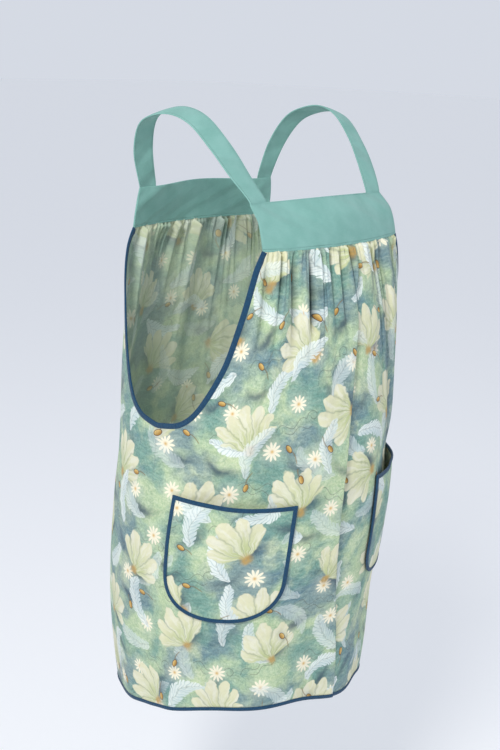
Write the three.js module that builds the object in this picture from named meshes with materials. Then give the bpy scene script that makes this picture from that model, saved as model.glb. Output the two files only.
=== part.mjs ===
// A pull-on smock apron with no ties, in the shape that it has when it is worn.
//
// A square yoke sits on the chest and another on the upper back. Two straps join them over the shoulders.
// A gathered cotton panel hangs from each yoke. The two meet at the side seams, under deep armholes.
// A bias tape binds each armhole, the hem and the whole edge of the two patch pockets.
//
// Millimetres, +Z up. The front looks along -Y and the wearer's left is +X.
// The origin is midway between the straps, where they rest on top of the shoulders.

import * as THREE from 'three';

// Lengths of the whole garment
const garmentLength = 816;      // top of the shoulder down to the hem, at the side seams
const hemFrontLift = 39;        // how much higher the hem hangs in front, and how much lower behind
const hemSkew = 26;             // how much higher it hangs on the wearer's right side
const hemDip = 7;               // how much it dips at the long front fold
const hipHalfWidth = 196;       // half the width at the hips
const frontReach = 183;         // centre of the body to the cloth in front, at the hips
const backReach = 203;          // and to the cloth behind

// Cloth
const clothThickness = 1.2;     // printed cotton with its wrinkles
const bandThickness = 1.8;      // yokes and straps, two layers of plain cotton
const tapeThickness = 1.0;      // each leg of the folded bias tape
const tapeWidth = 5;            // how far the tape covers the cloth
const sewnGap = 0.4;            // kept between pieces that are sewn together

// Yokes and straps
const yokeTopDrop = 101;        // shoulder down to the top of a yoke
const yokeHeight = 53;          // level height of a yoke
const yokeHalfWidth = 131;      // half the width of a yoke at its lower seam
const yokeTaper = 5;            // how much narrower each side is at the top
const yokeCrown = 3;            // how much higher the top edge is in the middle
const strapWidth = 33;
const strapFootWidth = 28;      // a strap's width where it is eased into the yoke
const shoulderHalfSpan = 143;   // middle of a strap to the middle of the body, on the shoulder
const shoulderSlope = 14;       // degrees that a strap leans outwards there

// Panels
const armholeDepth = 233;       // yoke seam down to the bottom of the armhole
const gatherShare = 0.73;       // part of a panel's width that is gathered into the yoke
const fanLength = 140;          // how fast the gathers spread below the seam

// Pockets
const pocketWidth = 160;
const pocketHeight = 165;
const pocketCornerRise = 62;    // height of the rounded lower corners
const pocketTopSag = 3;         // how much the upper edge droops
const rightPocketDrop = 472;    // shoulder down to the upper corners
const leftPocketDrop = 459;
const pocketAngle = 45;         // degrees from the middle of the two pockets to each one
const pocketTurn = -9.75;       // degrees that the cloth is turned on the body at that height
const pocketSeat = 0.9;         // kept between the panel and the tape under a pocket's edge
const pocketGape = 1;           // how far the mouth stands out
const pocketSink = 8;           // how far the panel sinks in behind the mouth

// How finely the cloth is divided
const gatherColumns = 38;
const armholeColumns = 9;
const backGatherColumns = 26;
const bodyRows = 13;
const backBodyRows = 9;
const yokeColumns = 18;
const yokeRows = 4;
const strapSteps = 30;
const pocketTopSteps = 8;
const pocketSideSteps = 4;
const pocketCurveSteps = 7;

// The body's shape under the cloth. level is a share of garmentLength below the shoulder. width, front and
// back are shares of the three hip sizes. bow is 1 for an oval section, and less for a flatter front and
// back.
const bodySections = [
  { level: 0.125, width: 0.962, front: 0.611, back: 0.574, bow: 0.50 },
  { level: 0.151, width: 0.950, front: 0.742, back: 0.596, bow: 0.50 },
  { level: 0.205, width: 0.934, front: 0.825, back: 0.638, bow: 0.50 },
  { level: 0.303, width: 0.908, front: 0.939, back: 0.714, bow: 0.60 },
  { level: 0.413, width: 0.916, front: 0.993, back: 0.808, bow: 0.75 },
  { level: 0.543, width: 0.949, front: 1.033, back: 0.875, bow: 0.90 },
  { level: 0.670, width: 1.000, front: 1.000, back: 0.942, bow: 1.00 },
  { level: 0.817, width: 0.988, front: 0.895, back: 1.000, bow: 1.00 },
  { level: 0.939, width: 0.952, front: 0.875, back: 0.974, bow: 1.00 },
  { level: 1.086, width: 0.872, front: 0.807, back: 0.899, bow: 1.00 },
];

// The armhole's edge, from a yoke's corner to the side seam. cut is the share of the way across the cloth,
// drop the share of armholeDepth, and front and back the share of the way round the body.
const armholeEdge = [
  { cut: 0.00, drop: 0.00, front: 0.000, back: 0.000 },
  { cut: 0.13, drop: 0.12, front: 0.146, back: 0.190 },
  { cut: 0.33, drop: 0.38, front: 0.348, back: 0.416 },
  { cut: 0.50, drop: 0.63, front: 0.483, back: 0.539 },
  { cut: 0.70, drop: 0.86, front: 0.663, back: 0.674 },
  { cut: 0.86, drop: 0.96, front: 0.812, back: 0.815 },
  { cut: 1.00, drop: 1.00, front: 1.000, back: 1.000 },
];

// The middle line of a strap over the shoulder, between its two ends. out is a share of the way from the
// yoke to shoulderHalfSpan, reach a share of the way to the front end (negative) or the back end, and drop
// a share of yokeTopDrop.
const strapLine = [
  { out: 0.34, reach: -0.78, drop: 0.71 },
  { out: 0.61, reach: -0.50, drop: 0.38 },
  { out: 0.82, reach: -0.16, drop: 0.09 },
  { out: 0.94, reach: 0.13, drop: 0.00 },
  { out: 1.00, reach: 0.43, drop: 0.03 },
  { out: 0.88, reach: 0.71, drop: 0.16 },
  { out: 0.52, reach: 0.92, drop: 0.51 },
];

// The small even gathers. count is the number of waves from one side seam to the other, height is in
// millimetres, and fade is the distance below the yoke over which they die away, as a share of fanLength.
const gatherWaves = [
  { count: 8.6, height: 2.6, fade: 0.7, shift: 0.15 },
  { count: 5.3, height: 2.6, fade: 1.9, shift: 0.40 },
];

// The larger folds. top and foot say where they start and end across the cloth, from -1 at the wearer's
// right side seam to 1. from and to say where they start and end down the panel, as shares of its height.
// depth is in millimetres (a valley is negative), and breadth is a share of the panel's half width. A lap is
// a fold that lies over the cloth beside it.
const frontFolds = [
  { top: -0.32, foot: -0.33, from: 0, to: 0.26, depth: -11, breadth: 0.030, lap: false },
  { top: -0.46, foot: -0.45, from: 0, to: 0.20, depth: -6, breadth: 0.035, lap: false },
  { top: -0.67, foot: -0.66, from: 0, to: 0.24, depth: -5, breadth: 0.035, lap: false },
  { top: -0.08, foot: -0.10, from: 0, to: 0.16, depth: -5, breadth: 0.030, lap: false },
  { top: 0.05, foot: 0.02, from: 0, to: 1.20, depth: 5, breadth: 0.110, lap: true },
  { top: 0.34, foot: 0.42, from: 0, to: 0.95, depth: -6, breadth: 0.060, lap: false },
  { top: 0.60, foot: 0.62, from: 0, to: 0.35, depth: -5, breadth: 0.045, lap: false },
  { top: -0.22, foot: -0.30, from: 0, to: 0.85, depth: 3, breadth: 0.080, lap: false },
  { top: -0.55, foot: -0.62, from: 0, to: 0.70, depth: 3, breadth: 0.090, lap: false },
];
const backFolds = [
  { top: -0.52, foot: -0.60, from: 0, to: 0.55, depth: -7, breadth: 0.060, lap: false },
  { top: -0.20, foot: -0.22, from: 0, to: 0.90, depth: 5, breadth: 0.080, lap: false },
  { top: 0.02, foot: 0.02, from: 0, to: 0.60, depth: -7, breadth: 0.060, lap: false },
  { top: 0.24, foot: 0.26, from: 0, to: 0.95, depth: 5, breadth: 0.080, lap: false },
  { top: 0.50, foot: 0.62, from: 0, to: 0.60, depth: -7, breadth: 0.060, lap: false },
];

// The long front fold wanders as it hangs. drop is a share of the panel's height, and shift is across the
// cloth.
const lapWander = [
  { drop: 0.00, shift: 0.00 },
  { drop: 0.20, shift: -0.09 },
  { drop: 0.45, shift: -0.145 },
  { drop: 0.62, shift: -0.12 },
  { drop: 0.80, shift: -0.03 },
  { drop: 1.00, shift: 0.00 },
];

const FRONT = { side: -1, reach: frontReach, column: 'front', folds: frontFolds };
const BACK = { side: 1, reach: backReach, column: 'back', folds: backFolds };

const quarterTurn = Math.PI / 2;
const yokeSeamDrop = yokeTopDrop + yokeHeight;
const panelHeight = garmentLength - yokeSeamDrop;
const panelHalfWidth = quarterTurn * (hipHalfWidth + frontReach) / 2;

const mix = (a, b, share) => a + (b - a) * share;
const clamp = (x) => Math.min(1, Math.max(0, x));
const ease = (x) => clamp(x) ** 2 * (3 - 2 * clamp(x));

// A smooth curve through a table's rows, with straight ends.
function readTable(rows, keyColumn, x, column) {
  const last = rows.length - 1;
  let i = 0;
  while (i < last - 1 && x > rows[i + 1][keyColumn]) {
    i += 1;
  }
  const slope = (k) => {
    const before = rows[Math.max(k - 1, 0)];
    const after = rows[Math.min(k + 1, last)];
    return (after[column] - before[column]) / (after[keyColumn] - before[keyColumn]);
  };
  const span = rows[i + 1][keyColumn] - rows[i][keyColumn];
  const t = clamp((x - rows[i][keyColumn]) / span);
  const a = rows[i][column];
  const b = rows[i + 1][column];
  const pull = span * t * (1 - t);
  return mix(a, b, ease(t)) + pull * ((1 - t) * slope(i) - t * slope(i + 1));
}

// The smooth body under the cloth, at an angle from the middle of the front or the back.
function bodyPoint(face, angle, z) {
  const level = -z / garmentLength;
  const halfWidth = hipHalfWidth * readTable(bodySections, 'level', level, 'width');
  const reach = face.reach * readTable(bodySections, 'level', level, face.column);
  const bow = readTable(bodySections, 'level', level, 'bow');
  return new THREE.Vector3(
    halfWidth * Math.sin(angle),
    face.side * reach * Math.max(Math.cos(angle), 0) ** bow,
    z,
  );
}

// The angle at which a yoke of this half width ends at this height.
function edgeAngle(halfWidth, z) {
  const bodyHalfWidth = hipHalfWidth * readTable(bodySections, 'level', -z / garmentLength, 'width');
  return Math.asin(halfWidth / bodyHalfWidth);
}

const yokeSeamAngle = edgeAngle(yokeHalfWidth, -yokeSeamDrop);
const pocketPlaces = [-1, 1].map(pocketPlace);

const fanned = (fall) => 1 - Math.exp(-Math.max(fall, 0) / fanLength);

// How far the gathers and folds lift the cloth off the body.
function foldHeight(face, angle, z) {
  const fall = -z - yokeSeamDrop;
  if (fall < 0) return 0;
  const across = angle / mix(yokeSeamAngle / gatherShare, quarterTurn, fanned(fall));
  const gathered = 1 - ease((Math.abs(across) - gatherShare + 0.08) / 0.08);
  const calmSides = 1 - ease((Math.abs(across) - 0.84) / 0.14);
  let height = 0;
  for (const wave of gatherWaves) {
    const rise = mix(0.45, 1, ease(fall / 25)) * Math.exp(-fall / (wave.fade * fanLength));
    height += gathered * rise * wave.height * Math.sin(Math.PI * wave.count * (across + wave.shift));
  }
  for (const fold of face.folds) {
    const share = fall / panelHeight;
    const down = (share - fold.from) / (fold.to - fold.from);
    const wander = fold.lap ? readTable(lapWander, 'drop', share, 'shift') : 0;
    const off = (across - mix(fold.top, fold.foot, clamp(down)) - wander) / fold.breadth;
    const rise = fold.from > 0 ? ease((share - fold.from) / 0.3) : mix(0.35, 1, ease(fall / 30));
    const strength = rise * (1 - ease((down - 0.45) / 0.55));
    const shape = fold.lap
      ? Math.exp(-off * off) * (off < 0 ? 1 : -0.5)
      : Math.exp(-off * off);
    height += calmSides * strength * fold.depth * shape;
  }
  return height;
}

// Where a pocket sits: the angle of its middle, its upper corners' height, and the turn for each millimetre
// across.
function pocketPlace(hand) {
  const centre = THREE.MathUtils.degToRad(pocketTurn + hand * pocketAngle);
  const drop = hand < 0 ? rightPocketDrop : leftPocketDrop;
  const z = -drop - pocketHeight / 2;
  const turn = 0.01;
  const arc = bodyPoint(FRONT, centre + turn, z).distanceTo(bodyPoint(FRONT, centre - turn, z));
  return { centre, drop, turnPerMm: 2 * turn / arc };
}

// How far a panel sinks in behind the pockets' mouths.
function sinkDepth(face, angle, z) {
  if (face.side > 0) return 0;
  let depth = 0;
  for (const { centre, drop, turnPerMm } of pocketPlaces) {
    const aside = (angle - centre) / turnPerMm * 2 / pocketWidth;
    const down = -z - drop;
    const along = down < 0 ? Math.exp(-((down / 45) ** 2)) : clamp(1 - down / pocketHeight) ** 1.5;
    depth += pocketSink * clamp(1 - aside * aside) * along;
  }
  return depth;
}

// The cloth's surface as the pockets follow it, and as the panel itself lies.
function drapePoint(face, angle, z) {
  const point = bodyPoint(face, angle, z);
  return point.addScaledVector(bodyNormal(face, angle, z), foldHeight(face, angle, z));
}

function clothPoint(face, angle, z) {
  const depth = sinkDepth(face, angle, z);
  return drapePoint(face, angle, z).addScaledVector(bodyNormal(face, angle, z), -depth);
}

function normalOf(surface, face, angle, z) {
  const turn = 0.004;
  const step = 0.8;
  const left = Math.max(angle - turn, -quarterTurn);
  const right = Math.min(angle + turn, quarterTurn);
  const across = surface(face, right, z).sub(surface(face, left, z));
  const down = surface(face, angle, z - step).sub(surface(face, angle, z + step));
  return down.cross(across).multiplyScalar(-face.side).normalize();
}

function bodyNormal(face, angle, z) {
  return normalOf(bodyPoint, face, angle, z);
}

function clothNormal(face, angle, z) {
  return normalOf(clothPoint, face, angle, z);
}

function clothSpot(face, angle, z) {
  return { point: clothPoint(face, angle, z), normal: clothNormal(face, angle, z) };
}

// A closed mesh from a list of corners and a list of triangles.
function meshOf(name, corners, triangles, material) {
  const geometry = new THREE.BufferGeometry();
  const places = corners.flatMap((corner) => corner.toArray());
  geometry.setAttribute('position', new THREE.Float32BufferAttribute(places, 3));
  geometry.setIndex(triangles.flat());
  geometry.computeVertexNormals();
  const mesh = new THREE.Mesh(geometry, material);
  mesh.name = name;
  return mesh;
}

// Two triangles for the four-sided face a, b, c, d, split along its shorter diagonal.
function splitFace(corners, a, b, c, d) {
  const straight = corners[a].distanceTo(corners[c]) <= corners[b].distanceTo(corners[d]);
  return straight ? [[a, b, c], [a, c, d]] : [[a, b, d], [b, c, d]];
}

const lifted = (spot, height) => spot.point.clone().addScaledVector(spot.normal, height);

// A wall of even thickness on a grid of spots. The columns follow one another round the body, and each runs
// down from its top.
function wallOf(name, grid, thickness, material) {
  const columns = grid.length;
  const rows = grid[0].length;
  const corners = [];
  for (const height of [thickness / 2, -thickness / 2]) {
    for (const column of grid) {
      for (const spot of column) corners.push(lifted(spot, height));
    }
  }
  const outside = (c, r) => c * rows + r;
  const inside = (c, r) => columns * rows + outside(c, r);
  const triangles = [];
  const quad = (a, b, c, d) => triangles.push(...splitFace(corners, a, b, c, d));
  for (let c = 0; c + 1 < columns; c += 1) {
    for (let r = 0; r + 1 < rows; r += 1) {
      quad(outside(c, r), outside(c, r + 1), outside(c + 1, r + 1), outside(c + 1, r));
      quad(inside(c, r), inside(c + 1, r), inside(c + 1, r + 1), inside(c, r + 1));
    }
    quad(outside(c, 0), outside(c + 1, 0), inside(c + 1, 0), inside(c, 0));
    quad(inside(c, rows - 1), inside(c + 1, rows - 1), outside(c + 1, rows - 1), outside(c, rows - 1));
  }
  for (let r = 0; r + 1 < rows; r += 1) {
    quad(inside(0, r), inside(0, r + 1), outside(0, r + 1), outside(0, r));
    const last = columns - 1;
    quad(outside(last, r), outside(last, r + 1), inside(last, r + 1), inside(last, r));
  }
  return meshOf(name, corners, triangles, material);
}

// Tape folded over an edge. Each station has the spot at the edge, the spot tapeWidth further in, and the
// direction that leads out of the cloth across the edge. clothHalf is half the thickness that the tape folds
// over.
function tapeOf(name, stations, clothHalf, closed, material) {
  const near = clothHalf + sewnGap;
  const far = near + tapeThickness;
  const corners = [];
  for (const { edge, foot, outward } of stations) {
    const past = (distance, height) => lifted(edge, height).addScaledVector(outward, distance);
    const rim = sewnGap + tapeThickness;
    corners.push(lifted(foot, far), past(rim, far), past(rim, -far), lifted(foot, -far));
    corners.push(lifted(foot, -near), past(sewnGap, -near), past(sewnGap, near), lifted(foot, near));
  }
  const ring = 8;
  const triangles = [];
  const segments = closed ? stations.length : stations.length - 1;
  for (let s = 0; s < segments; s += 1) {
    const here = s * ring;
    const next = ((s + 1) % stations.length) * ring;
    for (let j = 0; j < ring; j += 1) {
      const k = (j + 1) % ring;
      triangles.push(...splitFace(corners, here + j, next + j, next + k, here + k));
    }
  }
  if (!closed) {
    const end = (stations.length - 1) * ring;
    for (let j = 0; j < 3; j += 1) {
      const [a, b, c, d] = [j, j + 1, ring - 2 - j, ring - 1 - j];
      triangles.push([a, b, c], [a, c, d], [end + a, end + c, end + b], [end + a, end + d, end + c]);
    }
  }
  return meshOf(name, corners, triangles, material);
}

// Where a column of cloth starts: its angle and height at the yoke seam or on the armhole's edge.
function columnTop(face, across) {
  const size = Math.abs(across);
  const hand = Math.sign(across);
  if (size <= gatherShare) {
    return { angle: yokeSeamAngle * across / gatherShare, z: -yokeSeamDrop - sewnGap / 2 };
  }
  const cut = (size - gatherShare) / (1 - gatherShare);
  const round = readTable(armholeEdge, 'cut', cut, face.column);
  const drop = readTable(armholeEdge, 'cut', cut, 'drop');
  return {
    angle: hand * mix(yokeSeamAngle, quarterTurn, round),
    z: -yokeSeamDrop - sewnGap / 2 - armholeDepth * drop,
  };
}

function hemHeight(face, angle) {
  const dip = face.side < 0 ? hemDip * Math.exp(-(((angle - 0.1) / 0.3) ** 2)) : 0;
  return -garmentLength - face.side * hemFrontLift * Math.cos(angle) - hemSkew * Math.sin(angle) - dip;
}

function columnAngle(top, across, fall) {
  return mix(top.angle, quarterTurn * across, fanned(fall));
}

// The places across a panel, from one side seam to the other, in the order that runs round the body.
function placesAcross(face, columns) {
  const seamShare = 1 - sewnGap / 2 / panelHalfWidth;
  const places = [];
  for (let i = 0; i < armholeColumns; i += 1) {
    places.push(-mix(seamShare, gatherShare, i / armholeColumns));
  }
  for (let i = 0; i <= columns; i += 1) {
    places.push(mix(-gatherShare, gatherShare, i / columns));
  }
  for (let i = 1; i <= armholeColumns; i += 1) {
    places.push(mix(gatherShare, seamShare, i / armholeColumns));
  }
  return face.side < 0 ? places : places.reverse();
}

// One column of a panel. Its second spot lies tapeWidth in from the armhole's edge, and its last but one
// tapeWidth above the hem.
function panelColumn(face, across, rows) {
  const top = columnTop(face, across);
  const hem = hemHeight(face, quarterTurn * across);
  const height = top.z - hem;
  let firstFall = tapeWidth;
  if (Math.abs(across) >= gatherShare - 1e-9) {
    const nudge = 0.01;
    const inner = columnTop(face, Math.sign(across) * Math.max(Math.abs(across) - nudge, gatherShare));
    const outer = columnTop(face, Math.sign(across) * Math.min(Math.abs(across) + nudge, 1));
    const run = bodyPoint(face, outer.angle, outer.z).sub(bodyPoint(face, inner.angle, inner.z));
    const level = Math.hypot(run.x, run.y);
    firstFall = tapeWidth * Math.hypot(level, run.z) / level;
  }
  const falls = [0, firstFall];
  for (let r = 1; r < rows; r += 1) {
    falls.push(mix(firstFall, height - tapeWidth, (r / rows) ** 1.25));
  }
  falls.push(height - tapeWidth, height);
  return falls.map((fall) => clothSpot(face, columnAngle(top, across, fall), top.z - fall));
}

function panelGrid(face, columns, rows) {
  return placesAcross(face, columns).map((across) => panelColumn(face, across, rows));
}

// The direction out of the cloth across an edge that runs from one spot to another.
function outwardAcross(before, after, normal) {
  return after.point.clone().sub(before.point).cross(normal).normalize();
}

// Tape stations along one edge of a run of columns, with the cloth always on the same side of the run.
function edgeStations(run, edgeRow, footRow, closed) {
  const count = run.length;
  const columns = edgeRow < footRow ? run : [...run].reverse();
  return columns.map((column, i) => {
    const before = columns[closed ? (i + count - 1) % count : Math.max(i - 1, 0)][edgeRow];
    const after = columns[closed ? (i + 1) % count : Math.min(i + 1, count - 1)][edgeRow];
    const outward = outwardAcross(before, after, column[edgeRow].normal).negate();
    return { edge: column[edgeRow], foot: column[footRow], outward };
  });
}

// A point of a yoke. across runs from -1 at the wearer's right to 1, and down from 0 at the top edge to 1 at
// the seam. The body shapes the seam. The straps pull the top edge straight beside their ends.
function yokePoint(face, across, down) {
  const z = mix(-yokeTopDrop, -yokeSeamDrop + sewnGap / 2, down);
  const sideAngle = edgeAngle(yokeHalfWidth - yokeTaper * (1 - down) ** 2.5, z);
  const point = bodyPoint(face, across * sideAngle, z);
  const corner = bodyPoint(face, sideAngle, z).y;
  const middle = bodyPoint(face, 0, z).y;
  const flatShare = 0.8;
  const bulge = Math.cos(quarterTurn * Math.min(Math.abs(across) / flatShare, 1)) ** 2;
  point.y = mix(mix(corner, middle, bulge), point.y, ease(down));
  point.z += yokeCrown * bulge * (1 - down);
  return point;
}

// A yoke: a band between its top edge and its seam.
function yokeGrid(face) {
  const grid = [];
  const step = 0.02;
  for (let c = 0; c <= yokeColumns; c += 1) {
    const across = (2 * c / yokeColumns - 1) * -face.side;
    const column = [];
    for (let r = 0; r <= yokeRows; r += 1) {
      const down = r / yokeRows;
      const lower = yokePoint(face, across, Math.min(down + step, 1));
      const upper = yokePoint(face, across, Math.max(down - step, 0));
      const left = yokePoint(face, across - step, down);
      const right = yokePoint(face, across + step, down);
      const normal = lower.sub(upper).cross(right.sub(left)).multiplyScalar(-face.side).normalize();
      column.push({ point: yokePoint(face, across, down), normal });
    }
    grid.push(column);
  }
  return grid;
}

// A strap's sections: a middle point, the direction across it, the direction out of it, and its width there.
function strapSections(hand) {
  const lift = bandThickness / 2 + sewnGap;
  const end = (face) => {
    const middle = yokePoint(face, hand, 0);
    middle.x -= hand * strapFootWidth / 2;
    middle.z += lift;
    return { middle, width: new THREE.Vector3(hand, 0, 0) };
  };
  const front = end(FRONT);
  const back = end(BACK);
  const points = strapLine.map(({ out, reach, drop }) => new THREE.Vector3(
    hand * mix(Math.abs(front.middle.x), shoulderHalfSpan, out),
    reach < 0 ? -reach * front.middle.y : reach * back.middle.y,
    -drop * yokeTopDrop + bandThickness / 2,
  ));
  const line = new THREE.CatmullRomCurve3([front.middle, ...points, back.middle], false, 'centripetal');
  const slope = THREE.MathUtils.degToRad(shoulderSlope);
  const leaning = new THREE.Vector3(hand * Math.cos(slope), 0, -Math.sin(slope));
  const sections = [];
  for (let i = 0; i <= strapSteps; i += 1) {
    const share = i / strapSteps;
    const along = line.getTangentAt(share);
    const fromEnd = ease(Math.min(share, 1 - share) / 0.3);
    const width = (share < 0.5 ? front : back).width.clone().lerp(leaning, fromEnd);
    if (i > 0 && i < strapSteps) width.addScaledVector(along, -width.dot(along));
    width.normalize();
    const normal = along.clone().cross(width).multiplyScalar(-hand).normalize();
    const breadth = mix(strapFootWidth, strapWidth, ease(Math.min(share, 1 - share) / 0.2));
    sections.push({ middle: line.getPointAt(share), width, normal, breadth });
  }
  return sections;
}

function strapGrid(hand) {
  return strapSections(hand).map(({ middle, width, normal, breadth }) => (
    [-hand, hand].map((end) => ({
      point: middle.clone().addScaledVector(width, end * breadth / 2),
      normal,
    }))
  ));
}

// A pocket's outline on the flat cloth, clockwise from its upper left corner, with x across and y down.
function pocketOutline(hand) {
  const half = pocketWidth / 2;
  const shoulder = pocketHeight - pocketCornerRise;
  const roundness = 2.3;
  const outline = [];
  for (let i = 0; i < pocketTopSteps; i += 1) {
    const aside = mix(-1, 1, i / pocketTopSteps);
    outline.push({ x: half * aside, y: pocketTopSag * (1 - aside ** 2) * (1 - 0.6 * hand * aside) });
  }
  for (let i = 0; i < pocketSideSteps; i += 1) {
    outline.push({ x: half, y: mix(0, shoulder, i / pocketSideSteps) });
  }
  for (let i = 0; i <= 2 * pocketCurveSteps; i += 1) {
    const turn = Math.PI * i / (2 * pocketCurveSteps);
    outline.push({
      x: half * Math.sign(Math.cos(turn)) * Math.abs(Math.cos(turn)) ** (2 / roundness),
      y: shoulder + pocketCornerRise * Math.sin(turn) ** (2 / roundness),
    });
  }
  for (let i = 1; i < pocketSideSteps; i += 1) {
    outline.push({ x: -half, y: mix(shoulder, 0, i / pocketSideSteps) });
  }
  return outline;
}

// The outline moved in from the edge by an even distance.
function insetOutline(outline, distance) {
  const count = outline.length;
  return outline.map((here, i) => {
    const before = outline[(i + count - 1) % count];
    const after = outline[(i + 1) % count];
    const unit = (a, b) => {
      const length = Math.hypot(b.x - a.x, b.y - a.y);
      return { x: (b.x - a.x) / length, y: (b.y - a.y) / length };
    };
    const arriving = unit(before, here);
    const leaving = unit(here, after);
    const inward = { x: -(arriving.y + leaving.y), y: arriving.x + leaving.x };
    const size = Math.hypot(inward.x, inward.y);
    const spread = 2 / size / size;
    return { x: here.x + inward.x * spread * distance, y: here.y + inward.y * spread * distance };
  });
}

// A pocket's cloth and its tape. They follow the panel, and stand off it towards the mouth.
function pocketPieces(name, hand, clothMaterial, tapeMaterial) {
  const { centre, drop, turnPerMm } = pocketPlaces[hand < 0 ? 0 : 1];
  const seat = clothThickness / 2 + pocketSeat + tapeThickness + sewnGap + clothThickness / 2;
  const spotAt = ({ x, y }) => {
    const surface = (u, v) => {
      const angle = centre + u * turnPerMm;
      const z = -drop - v;
      const side = clamp(1 - (2 * u / pocketWidth) ** 2);
      const open = pocketGape * side * clamp(1 - v / pocketHeight) ** 1.5;
      return drapePoint(FRONT, angle, z).addScaledVector(bodyNormal(FRONT, angle, z), seat + open);
    };
    const step = 0.5;
    const across = surface(x + step, y).sub(surface(x - step, y));
    const down = surface(x, y + step).sub(surface(x, y - step));
    return { point: surface(x, y), normal: down.cross(across).normalize() };
  };
  const outline = pocketOutline(hand);
  const inset = insetOutline(outline, tapeWidth);
  const middle = { x: 0, y: pocketHeight / 2 };
  const shrunk = (share) => inset.map(({ x, y }) => ({
    x: mix(x, middle.x, share),
    y: mix(y, middle.y, share),
  }));
  const rings = [outline, inset, shrunk(0.22), shrunk(0.46), shrunk(0.72)].map((ring) => ring.map(spotAt));
  const hub = spotAt(middle);
  const count = outline.length;
  const corners = [];
  const half = clothThickness / 2;
  for (const height of [half, -half]) {
    for (const ring of rings) {
      for (const spot of ring) corners.push(lifted(spot, height));
    }
    corners.push(lifted(hub, height));
  }
  const layer = rings.length * count + 1;
  const triangles = [];
  for (let i = 0; i < count; i += 1) {
    const j = (i + 1) % count;
    for (let k = 0; k + 1 < rings.length; k += 1) {
      const [a, b, c, d] = [k * count + i, (k + 1) * count + i, (k + 1) * count + j, k * count + j];
      triangles.push([a, b, c], [a, c, d]);
      triangles.push([layer + a, layer + c, layer + b], [layer + a, layer + d, layer + c]);
    }
    const last = (rings.length - 1) * count;
    triangles.push([last + i, layer - 1, last + j]);
    triangles.push([layer + last + i, layer + last + j, layer + layer - 1]);
    triangles.push([i, j, layer + j], [i, layer + j, layer + i]);
  }
  const stations = outline.map((_, i) => {
    const before = rings[0][(i + count - 1) % count];
    const after = rings[0][(i + 1) % count];
    const edge = rings[0][i];
    return { edge, foot: rings[1][i], outward: outwardAcross(before, after, edge.normal).negate() };
  });
  return [
    meshOf(`pocket_${name}`, corners, triangles, clothMaterial),
    tapeOf(`pocket_binding_${name}`, stations, half, true, tapeMaterial),
  ];
}

const printedCotton = new THREE.MeshStandardMaterial({ color: 0x9dbfa9, roughness: 0.9, metalness: 0 });
const plainCotton = new THREE.MeshStandardMaterial({ color: 0x7fb5a8, roughness: 0.9, metalness: 0 });
const blueTape = new THREE.MeshStandardMaterial({ color: 0x1f4e79, roughness: 0.85, metalness: 0 });

const frontGrid = panelGrid(FRONT, gatherColumns, bodyRows);
const backGrid = panelGrid(BACK, backGatherColumns, backBodyRows);
const hemRow = (grid) => grid.map((column) => column.slice(-2));
const armholeRun = (grid, first) => (
  first ? grid.slice(0, armholeColumns + 1) : grid.slice(-armholeColumns - 1)
);

const apron = new THREE.Group();
apron.add(wallOf('front_panel', frontGrid, clothThickness, printedCotton));
apron.add(wallOf('back_panel', backGrid, clothThickness, printedCotton));
apron.add(wallOf('front_yoke', yokeGrid(FRONT), bandThickness, plainCotton));
apron.add(wallOf('back_yoke', yokeGrid(BACK), bandThickness, plainCotton));
apron.add(wallOf('strap_left', strapGrid(1), bandThickness, plainCotton));
apron.add(wallOf('strap_right', strapGrid(-1), bandThickness, plainCotton));

const half = clothThickness / 2;
const leftArmhole = [...armholeRun(frontGrid, false), ...armholeRun(backGrid, true)];
const rightArmhole = [...armholeRun(backGrid, false), ...armholeRun(frontGrid, true)];
apron.add(tapeOf('armhole_binding_left', edgeStations(leftArmhole, 0, 1, false), half, false, blueTape));
apron.add(tapeOf('armhole_binding_right', edgeStations(rightArmhole, 0, 1, false), half, false, blueTape));
const hemColumns = [...hemRow(frontGrid), ...hemRow(backGrid)];
apron.add(tapeOf('hem_binding', edgeStations(hemColumns, 1, 0, true), half, true, blueTape));

apron.add(...pocketPieces('right', -1, printedCotton, blueTape));
apron.add(...pocketPieces('left', 1, printedCotton, blueTape));

export default apron;
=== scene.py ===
"""A pull-on smock apron of printed cotton, in the shape that it has when it is worn.

The frame is in metres, with +Z up, the front along -Y and the wearer's left along +X.
"""

import bpy
import numpy as np
from mathutils import Matrix, Vector


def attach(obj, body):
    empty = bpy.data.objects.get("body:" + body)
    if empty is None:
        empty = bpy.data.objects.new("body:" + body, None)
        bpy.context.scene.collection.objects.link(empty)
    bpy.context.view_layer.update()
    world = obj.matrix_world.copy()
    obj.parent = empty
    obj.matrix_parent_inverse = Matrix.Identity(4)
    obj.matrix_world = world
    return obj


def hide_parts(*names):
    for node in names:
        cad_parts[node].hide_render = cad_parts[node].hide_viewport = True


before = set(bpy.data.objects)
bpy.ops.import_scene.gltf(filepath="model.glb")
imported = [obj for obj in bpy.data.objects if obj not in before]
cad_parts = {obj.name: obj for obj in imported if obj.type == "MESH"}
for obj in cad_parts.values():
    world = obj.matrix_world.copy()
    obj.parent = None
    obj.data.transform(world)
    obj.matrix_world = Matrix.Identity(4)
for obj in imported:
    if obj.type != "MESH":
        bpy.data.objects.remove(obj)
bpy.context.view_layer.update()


# The room: a pale floor far below the hem, three soft lights, and a camera a little above the chest that
# looks down at the wearer's right front corner.

FLOOR_HALF, FLOOR_HEIGHT = 40, -1.3     # half a side of the floor, and how high it lies
AIM = Vector((-0.0109, 0, -0.3535))     # the point in the middle of the picture
DISTANCE = 1.6011                       # from there to the camera
CHEST, MIDDLE = (0, 0, -0.2), (0, 0, -0.45)     # the points that the lights face


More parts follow.
